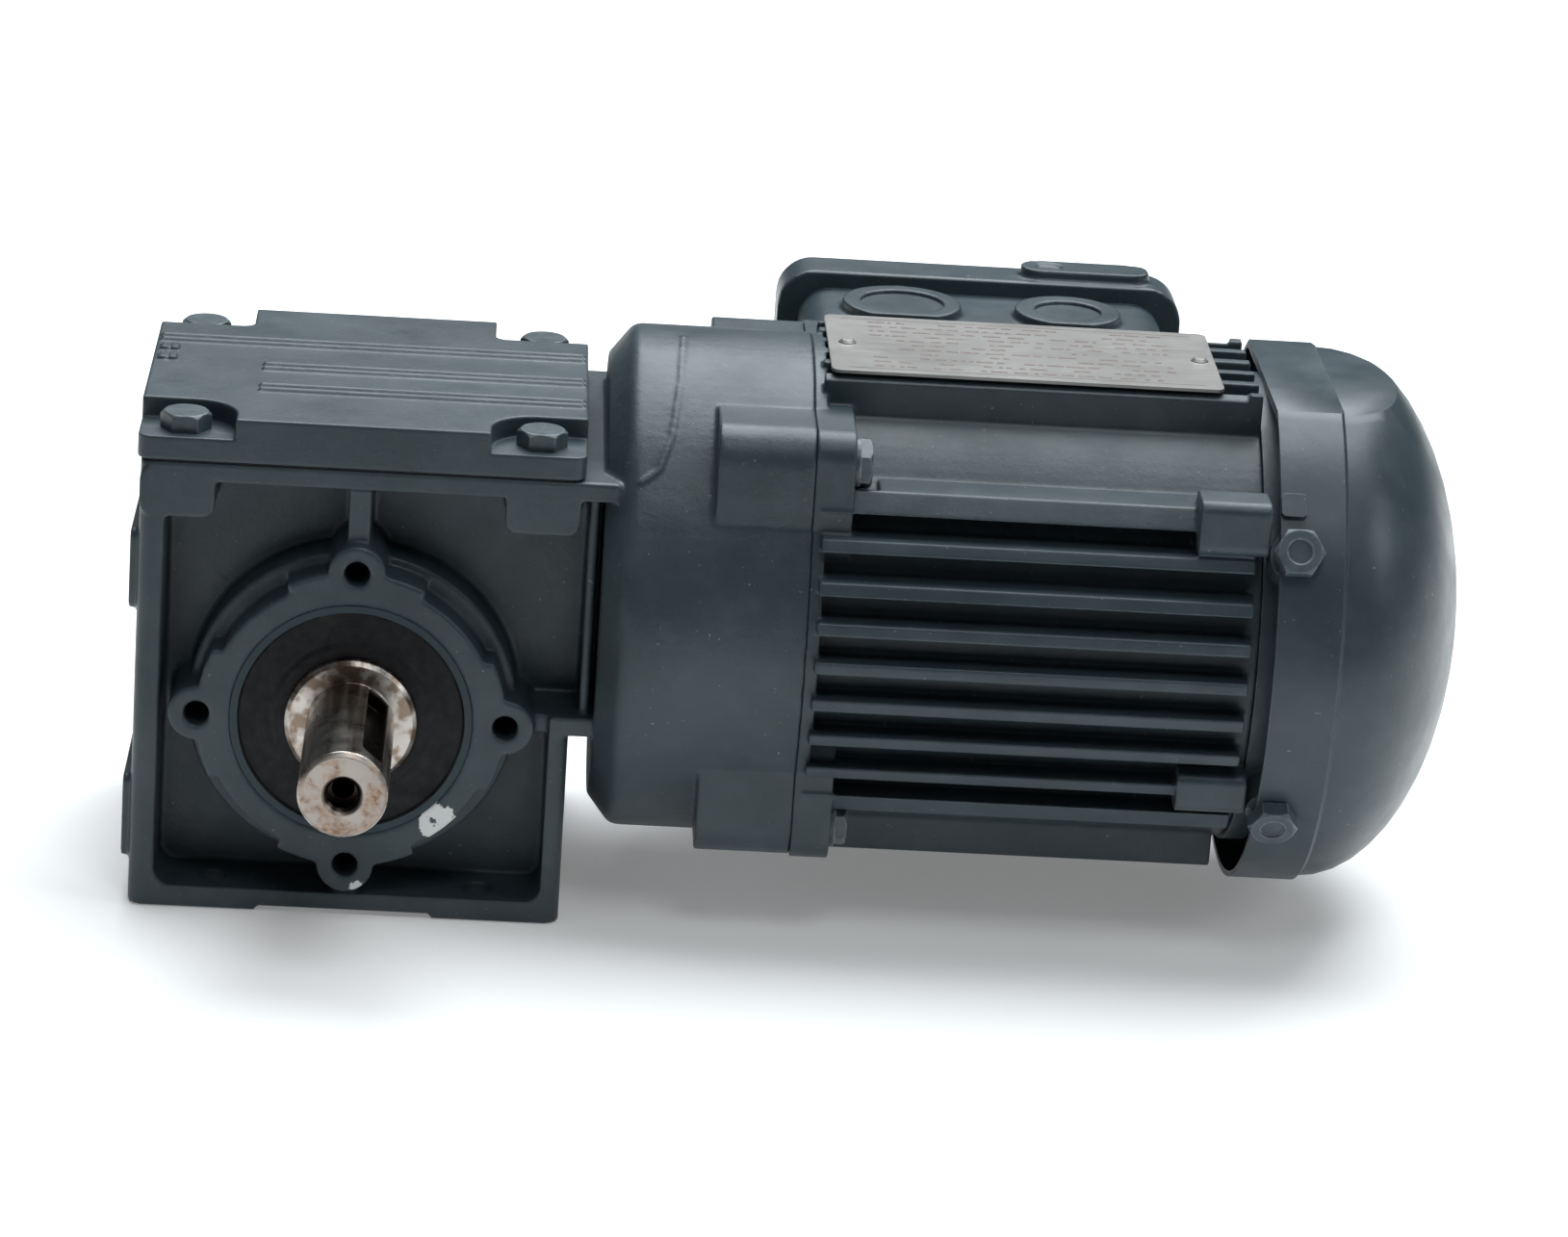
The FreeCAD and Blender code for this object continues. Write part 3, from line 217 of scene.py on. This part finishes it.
def shaft_steel():
    """Ground steel: brown streaks of old oil along it, painted shade in the key slot and in the centre drilling,
    rust on its end face.
    """
    g = Graph("shaft_ground")
    base = g.mix(g.ramp(g.noise(70, 3, 0.6), 0.35, 0.7), (0.58, 0.53, 0.49), (0.44, 0.40, 0.365))
    streaks = g.ramp(g.noise(260, 3, 0.55, g.stretched((1, 0.05, 1))), 0.46, 0.60, 0.0, 0.85)
    base = g.mix(streaks, base, (0.17, 0.115, 0.075))
    radius = g.radius((0, 0, OUTPUT_Z), "Y")
    # Painted shade: the floor of the key slot is made near-black to stand in for the shade in that recess.
    keyway_painted_shade = g.fade(radius, SHAFT_RADIUS - 1.0 * MM, SHAFT_RADIUS - 0.2 * MM)
    base = g.mix(keyway_painted_shade, base, (0.045, 0.036, 0.030))
    end = g.fade(g.coordinate("Y"), SHAFT_END_Y + 0.2 * MM, SHAFT_END_Y + 0.8 * MM)
    base = g.mix(end, base, (0.40, 0.355, 0.32))
    rust = g.math("MULTIPLY", end, g.ramp(g.noise(170, 5, 0.68, distortion=0.6), 0.47, 0.60, 0.0, 0.9))
    brown = g.mix(g.ramp(g.noise(900, 3, 0.6), 0.4, 0.6), (0.22, 0.12, 0.07), (0.42, 0.29, 0.20))
    base = g.mix(rust, base, brown)
    # Painted shade: a near-black disc round the axis on the end face stands in for the shade inside the centre
    # drilling.
    centre_hole_painted_shade = g.fade(radius, CENTRE_HOLE_SHADE_RADIUS - 0.1 * MM, CENTRE_HOLE_SHADE_RADIUS + 0.2 * MM)
    base = g.mix(centre_hole_painted_shade, base, (0.035, 0.024, 0.020))
    roughness = g.ramp(g.noise(160, 3, 0.6), 0.3, 0.7, 0.24, 0.36)
    roughness = g.math("ADD", roughness, g.math("MULTIPLY", end, 0.16), True)
    rings = g.noise(5200, 2, 0.5, g.stretched((0.01, 1, 0.01)))
    normal = g.bump(rings, 0.004 * MM, 0.25, g.soft_edges(0.4 * MM))
    metallic = g.math("SUBTRACT", 1.0, g.math("MULTIPLY", rust, 0.7))
    return g.finish(base, roughness, normal, metallic)


def zinc(name):
    """Dull zinc plating, brighter along the edges."""
    g = Graph(name)
    base = g.mix(g.ramp(g.noise(260, 4, 0.6), 0.35, 0.65), (0.30, 0.30, 0.285), (0.42, 0.41, 0.385))
    base = g.mix(g.math("MULTIPLY", g.wear(0.4 * MM), 0.5), base, (0.6, 0.59, 0.57))
    roughness = g.ramp(g.noise(500, 3, 0.6), 0.3, 0.7, 0.34, 0.52)
    return g.finish(base, roughness, g.bump(g.noise(1500, 2, 0.5), 0.02 * MM, 0.6, g.soft_edges(0.5 * MM)), 0.85)


def seal_material():
    """A painted rim round black rubber."""
    g = Graph("seal_rubber_look")
    radius = g.radius((0, 0, OUTPUT_Z), "Y")
    wobble = g.math("MULTIPLY", g.noise(90, 2, 0.5), 0.6 * MM)
    rim = g.ramp(g.math("ADD", radius, wobble), SEAL_RUBBER_RADIUS - 0.1 * MM, SEAL_RUBBER_RADIUS + 0.2 * MM)
    black = g.mix(g.ramp(g.noise(400, 4, 0.6), 0.4, 0.7), (0.006, 0.006, 0.007), (0.014, 0.014, 0.015))
    black = g.mix(g.ramp(g.noise(55, 5, 0.7), 0.6, 0.75, 0.0, 0.4), black, (0.035, 0.033, 0.03))
    color = g.mix(rim, black, PAINT)
    roughness = g.ramp(g.noise(300, 3, 0.6), 0.3, 0.7, 0.42, 0.62)
    rings = g.math("SINE", g.math("MULTIPLY", radius, 5200.0))
    normal = g.bump(rings, 0.03 * MM, 0.35, g.soft_edges(0.3 * MM))
    normal = g.bump(g.noise(1500, 2, 0.5), 0.02 * MM, 0.4, normal)
    return g.finish(color, roughness, normal, Specular_IOR_Level=0.22)


def rubber(name, color, rough):
    """Moulded rubber or plastic with a fine grain."""
    g = Graph(name)
    base = g.mix(g.ramp(g.noise(300, 4, 0.6), 0.35, 0.7), color, tuple(c * 1.9 for c in color))
    return g.finish(base, g.ramp(g.noise(500, 3), 0.3, 0.7, rough - 0.08, rough + 0.1),
                    g.bump(g.noise(1900, 3, 0.6), 0.02 * MM, 0.6, g.soft_edges(0.3 * MM)))


def bare_sheet(name):
    """Rolled aluminium with fine lengthwise brushing."""
    g = Graph(name)
    base = g.mix(g.ramp(g.noise(45, 4, 0.6), 0.35, 0.7), (0.285, 0.278, 0.268), (0.225, 0.219, 0.210))
    brush = g.noise(3000, 3, 0.6, g.stretched((0.03, 1, 1)))
    roughness = g.ramp(brush, 0.3, 0.7, 0.34, 0.5)
    return g.finish(base, roughness, g.bump(brush, 0.01 * MM, 0.35, g.soft_edges(0.3 * MM)), 0.75)


def printing(name):
    """Faded brown-black ink."""
    g = Graph(name)
    base = g.mix(g.ramp(g.noise(900, 3), 0.4, 0.6), (0.12, 0.085, 0.075), (0.19, 0.14, 0.125))
    return g.finish(base, 0.55, g.bump(g.noise(3000, 2), 0.01 * MM, 0.3))


def plain_metal(name, color, rough, grain=900, depth=0.02 * MM):
    """Bare metal with a grain of the given fineness and depth."""
    g = Graph(name)
    base = g.mix(g.ramp(g.noise(180, 4, 0.6), 0.35, 0.7), color, tuple(c * 0.7 for c in color))
    return g.finish(base, g.ramp(g.noise(350, 3), 0.3, 0.7, rough - 0.06, rough + 0.1),
                    g.bump(g.noise(grain, 3, 0.6), depth, 0.6, g.soft_edges(0.3 * MM)), 1.0)


LOOKS = {
    "casing_paint": paint("casing_enamel", 1.5, chips=CHIPS),
    "motor_paint": paint("motor_enamel", 1.2),
    "guard_paint": paint("guard_enamel", 0.5, 0.34),
    "box_paint": paint("box_enamel", 0.9, 0.38),
    "cap_paint": paint("cap_enamel", 0.5),
    "bolt_paint": bolt_paint("bolt_enamel"),
    "bolt_steel": zinc("bolt_zinc"),
    "shaft_steel": shaft_steel(),
    "spring_steel": plain_metal("spring_black", (0.09, 0.09, 0.095), 0.4),
    "bearing_steel": ground_steel("bearing_ground", (0.62, 0.62, 0.62), 0.16),
    "gear_steel": ground_steel("pinion_ground", (0.5, 0.5, 0.5), 0.25, turned_along="X"),
    "gear_bronze": plain_metal("wheel_bronze", (0.55, 0.36, 0.16), 0.33),
    "seal_rubber": seal_material(),
    "gasket_paper": rubber("gasket_sheet", (0.008, 0.009, 0.01), 0.8),
    "shield_aluminium": plain_metal("shield_cast", (0.50, 0.50, 0.50), 0.5, grain=600, depth=0.05 * MM),
    "lamination_steel": plain_metal("laminations", (0.13, 0.13, 0.14), 0.5, grain=2500),
    "winding_copper": plain_metal("winding_enamelled", (0.45, 0.16, 0.06), 0.35, grain=1200, depth=0.1 * MM),
    "fan_plastic": rubber("fan_moulded", (0.02, 0.02, 0.021), 0.45),
    "block_plastic": rubber("block_moulded", (0.035, 0.026, 0.02), 0.5),
    "terminal_brass": plain_metal("terminal_bright", (0.68, 0.48, 0.2), 0.28),
    "nameplate_metal": bare_sheet("nameplate_rolled"),
}
for entry in frame["record"]["subparts"]:
    node, look = NODES[entry["node"]], LOOKS[entry["material_slot"]]
    if not node.material_slots:
        node.data.materials.append(look)
    for slot in node.material_slots:
        slot.material = look


# ---------------------------------------------------------------- mesh helpers
def apply_modifiers(thing):
    """Bakes the modifiers into the mesh."""
    graph = bpy.context.evaluated_depsgraph_get()
    mesh = bpy.data.meshes.new_from_object(thing.evaluated_get(graph))
    old = thing.data
    thing.modifiers.clear()
    thing.data = mesh
    bpy.data.meshes.remove(old)


def link(name, data):
    thing = bpy.data.objects.new(name, data)
    bpy.context.scene.collection.objects.link(thing)
    return thing


def stand_in(thing, node, slot):
    """The piece takes the node's place and the slot's look."""
    thing.data.materials.clear()
    thing.data.materials.append(LOOKS[slot])
    for polygon in thing.data.polygons:
        polygon.material_index = 0
    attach(thing, FIXED)
    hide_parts(node)


def casting(name, node, slot, voxel, passes, faces, extra=None):
    """The CAD node as a cast surface: its edges and inside corners are rounded the way a mould leaves them.
    voxel is in millimetres. extra adds pieces to the mesh before it is rounded."""
    thing = link(name, NODES[node].data.copy())
    if extra:
        bm = bmesh.new()
        bm.from_mesh(thing.data)
        extra(bm)
        bm.to_mesh(thing.data)
        bm.free()
    remesh = thing.modifiers.new("skin", "REMESH")
    remesh.mode = "VOXEL"
    remesh.voxel_size = voxel * MM * 1
    apply_modifiers(thing)
    smooth = thing.modifiers.new("soften", "SMOOTH")
    smooth.factor = 0.5
    smooth.iterations = passes
    apply_modifiers(thing)
    triangles = len(thing.data.polygons) * 2
    if triangles > faces:
        thin = thing.modifiers.new("thin", "DECIMATE")
        thin.ratio = faces / triangles
        apply_modifiers(thing)
    for polygon in thing.data.polygons:
        polygon.use_smooth = True
    stand_in(thing, node, slot)


def pressed(name, node, slot):
    """The CAD node as a pressed part: facets that meet at a small angle are shaded as one smooth sheet."""
    sharp = radians(35)
    bm = bmesh.new()
    bm.from_mesh(NODES[node].data)
    bmesh.ops.remove_doubles(bm, verts=bm.verts, dist=1e-6)
    for face in bm.faces:
        face.smooth = True
    for edge in bm.edges:
        edge.smooth = edge.is_manifold and edge.calc_face_angle(0) < sharp
    mesh = bpy.data.meshes.new(name)
    bm.to_mesh(mesh)
    bm.free()
    if "custom_normal" in mesh.attributes:
        mesh.attributes.remove(mesh.attributes["custom_normal"])
    stand_in(link(name, mesh), node, slot)


def add_block(bm, centre, size):
    """An upright block. centre and size are in millimetres."""
    place = Matrix.Translation(Vector(centre) * MM) @ Matrix.Diagonal((*(Vector(size) * MM), 1))
    bmesh.ops.create_cube(bm, size=1, matrix=place)


# ---------------------------------------------------------------- castings
def cast_marks(bm):
    """Two pairs of small raised mould marks beside the cover's left edge."""
    for x, y in ((-48.0, 9.0), (-45.6, 9.0), (-48.0, 1.0), (-45.6, 1.0)):
        add_block(bm, (x, y, 117.4), (1.6, 4.2, 1.2))


def parting_line(bm):
    """A raised line where two halves of the mould met: down the drum from its top, then forward to the neck."""
    drum_radius, line_radius, steps = 58.5 * MM, 0.9 * MM, 24
    path = ((71.6, 2), (70.8, 24), (69.3, 39), (66.6, 48), (62.4, 51.5))  # x in mm, degrees from the top
    for (x0, turn0), (x1, turn1) in zip(path, path[1:]):
        for i in range(steps):
            x, turn = x0 + (x1 - x0) * i / steps, radians(turn0 + (turn1 - turn0) * i / steps)
            place = Matrix.Translation((x * MM, -drum_radius * sin(turn), MOTOR_Z + drum_radius * cos(turn)))
            bmesh.ops.create_icosphere(bm, subdivisions=1, radius=line_radius, matrix=place)


def top_fins(bm):
    """The upright fins reach a little further back than the level ones, up to the rear shield."""
    for y in (-22.5, -13.5, -4.5, 4.5, 13.5, 22.5):
        add_block(bm, (202.4, y, 124), (3.0, 2.9, 9.9))


casting("gear_housing_casting", "gear_housing", "casing_paint", 0.55, 3, 195000, parting_line)
casting("housing_cover_casting", "housing_cover", "casing_paint", 0.35, 2, 190000, cast_marks)
casting("stator_housing_casting", "stator_housing", "motor_paint", 0.42, 1, 195000, top_fins)
casting("terminal_box_casting", "terminal_box", "box_paint", 0.6, 3, 80000)
casting("terminal_box_lid_casting", "terminal_box_lid", "box_paint", 0.6, 3, 80000)
pressed("fan_guard_pressing", "fan_guard", "guard_paint")


# ---------------------------------------------------------------- nameplate print
def nameplate_print():
    """Rows of short dark dashes where a plate has its data: no letters, only the rhythm of print."""
    low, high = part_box("nameplate")
    rng = random.Random(7)
    bm = bmesh.new()

    def dash(x0, x1, y, half_width):
        y0, y1 = y - half_width, y + half_width
        corners = [bm.verts.new((*corner, high.z + z)) for z in (-0.02 * MM, 0.04 * MM)
                   for corner in ((x0, y0), (x1, y0), (x1, y1), (x0, y1))]
        for quad in ((3, 2, 1, 0), (4, 5, 6, 7), (0, 1, 5, 4), (1, 2, 6, 5), (2, 3, 7, 6), (3, 0, 4, 7)):
            bm.faces.new([corners[i] for i in quad])

    rows, indented = 11, (4, 5, 6)
    for row in range(rows):
        y = low.y + 5 * MM + row * (high.y - low.y - 10 * MM) / (rows - 1)
        x = low.x + 10 * MM + (6 * MM if row in indented else 0)
        end = high.x - 9 * MM
        while x < end:
            length = rng.uniform(0.8 * MM, 4.5 * MM)
            if rng.random() < 0.72 and x + length < end:
                dash(x, x + length, y, 0.45 * MM)
            x += length + rng.uniform(0.5 * MM, 2.2 * MM)
    for y in (low.y + 2.8 * MM, high.y - 2.8 * MM):
        dash(low.x + 4 * MM, high.x - 4 * MM, y, 0.08 * MM)
    mesh = bpy.data.meshes.new("nameplate_print")
    bm.to_mesh(mesh)
    bm.free()
    thing = link("nameplate_print", mesh)
    mesh.materials.append(printing("print_ink"))
    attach(thing, FIXED)


nameplate_print()


# ---------------------------------------------------------------- studio
TABLE_CENTRE = (0.15, 0.75, -0.0003)
TABLE_SIZE = (5.0, 2.5, 1)
TABLE_GLOW = 0.22
ROOM_COLOR, ROOM_LIGHT = (0.95, 0.98, 1, 1), 0.06
LAMP_COLOR = (0.92, 0.97, 1.0)
# name, place in metres, side in metres, watts, the point that it faces
LAMPS = (
    ("top_soft", (0.25, 0.55, 1.30), 1.5, 44, (0.1, 0.05, 0.0)),
    ("front_top", (0.22, -0.66, 1.10), 0.35, 2.2, (0.16, 0, 0.08)),
    ("right_soft", (1.30, -0.45, 0.85), 0.5, 3.0, (0.15, 0, 0.06)),
    ("front_left", (-0.9, -1.2, 0.7), 0.8, 0.6, (0.1, 0, 0.06)),
)


def studio():
    """A white table that glows a little, in a dim room, with one big light above and behind the object."""
    bpy.ops.mesh.primitive_plane_add(size=1, location=TABLE_CENTRE)
    floor = bpy.context.object
    floor.name = "studio_floor"
    floor.scale = TABLE_SIZE
    g = Graph("floor_paper")
    white = g.mix(g.ramp(g.noise(6, 3), 0.3, 0.7), (0.88, 0.88, 0.88), (0.90, 0.90, 0.90))
    g.put(g.shader.inputs["Emission Color"], white)
    floor.data.materials.append(g.finish(white, 0.8, Emission_Strength=TABLE_GLOW))
    world = bpy.data.worlds.new("studio")
    bpy.context.scene.world = world
    world.use_nodes = True
    background = world.node_tree.nodes["Background"]
    background.inputs["Color"].default_value = ROOM_COLOR
    background.inputs["Strength"].default_value = ROOM_LIGHT
    settings = bpy.context.scene.view_settings
    settings.view_transform, settings.look = "Standard", "None"
    for name, place, side, watts, aim in LAMPS:
        light = bpy.data.lights.new(name, "AREA")
        light.shape, light.size, light.energy = "SQUARE", side, watts
        light.color = LAMP_COLOR
        lamp = link(name, light)
        lamp.location = place
        lamp.rotation_euler = (Vector(aim) - Vector(place)).to_track_quat("-Z", "Y").to_euler()


def camera():
    """The view from the front, a little from above, with a slight roll."""
    yaw, pitch, roll = radians(3.18), radians(-18.6), radians(3.95)
    forward = Vector((sin(yaw) * cos(pitch), cos(yaw) * cos(pitch), sin(pitch)))
    right = forward.cross(Vector((0, 0, 1))).normalized()
    up = right.cross(forward)
    x_axis = cos(roll) * right + sin(roll) * up
    y_axis = -sin(roll) * right + cos(roll) * up
    data = bpy.data.cameras.new("photo_view")
    data.lens, data.sensor_width = 131.75, 36
    data.clip_start, data.clip_end = 0.05, 30
    eye = link("photo_view", data)
    matrix = Matrix((x_axis, y_axis, -forward)).transposed().to_4x4()
    matrix.translation = Vector((28.4, -1275.6, 491.6)) * MM
    eye.matrix_world = matrix
    bpy.context.scene.camera = eye


studio()
camera()
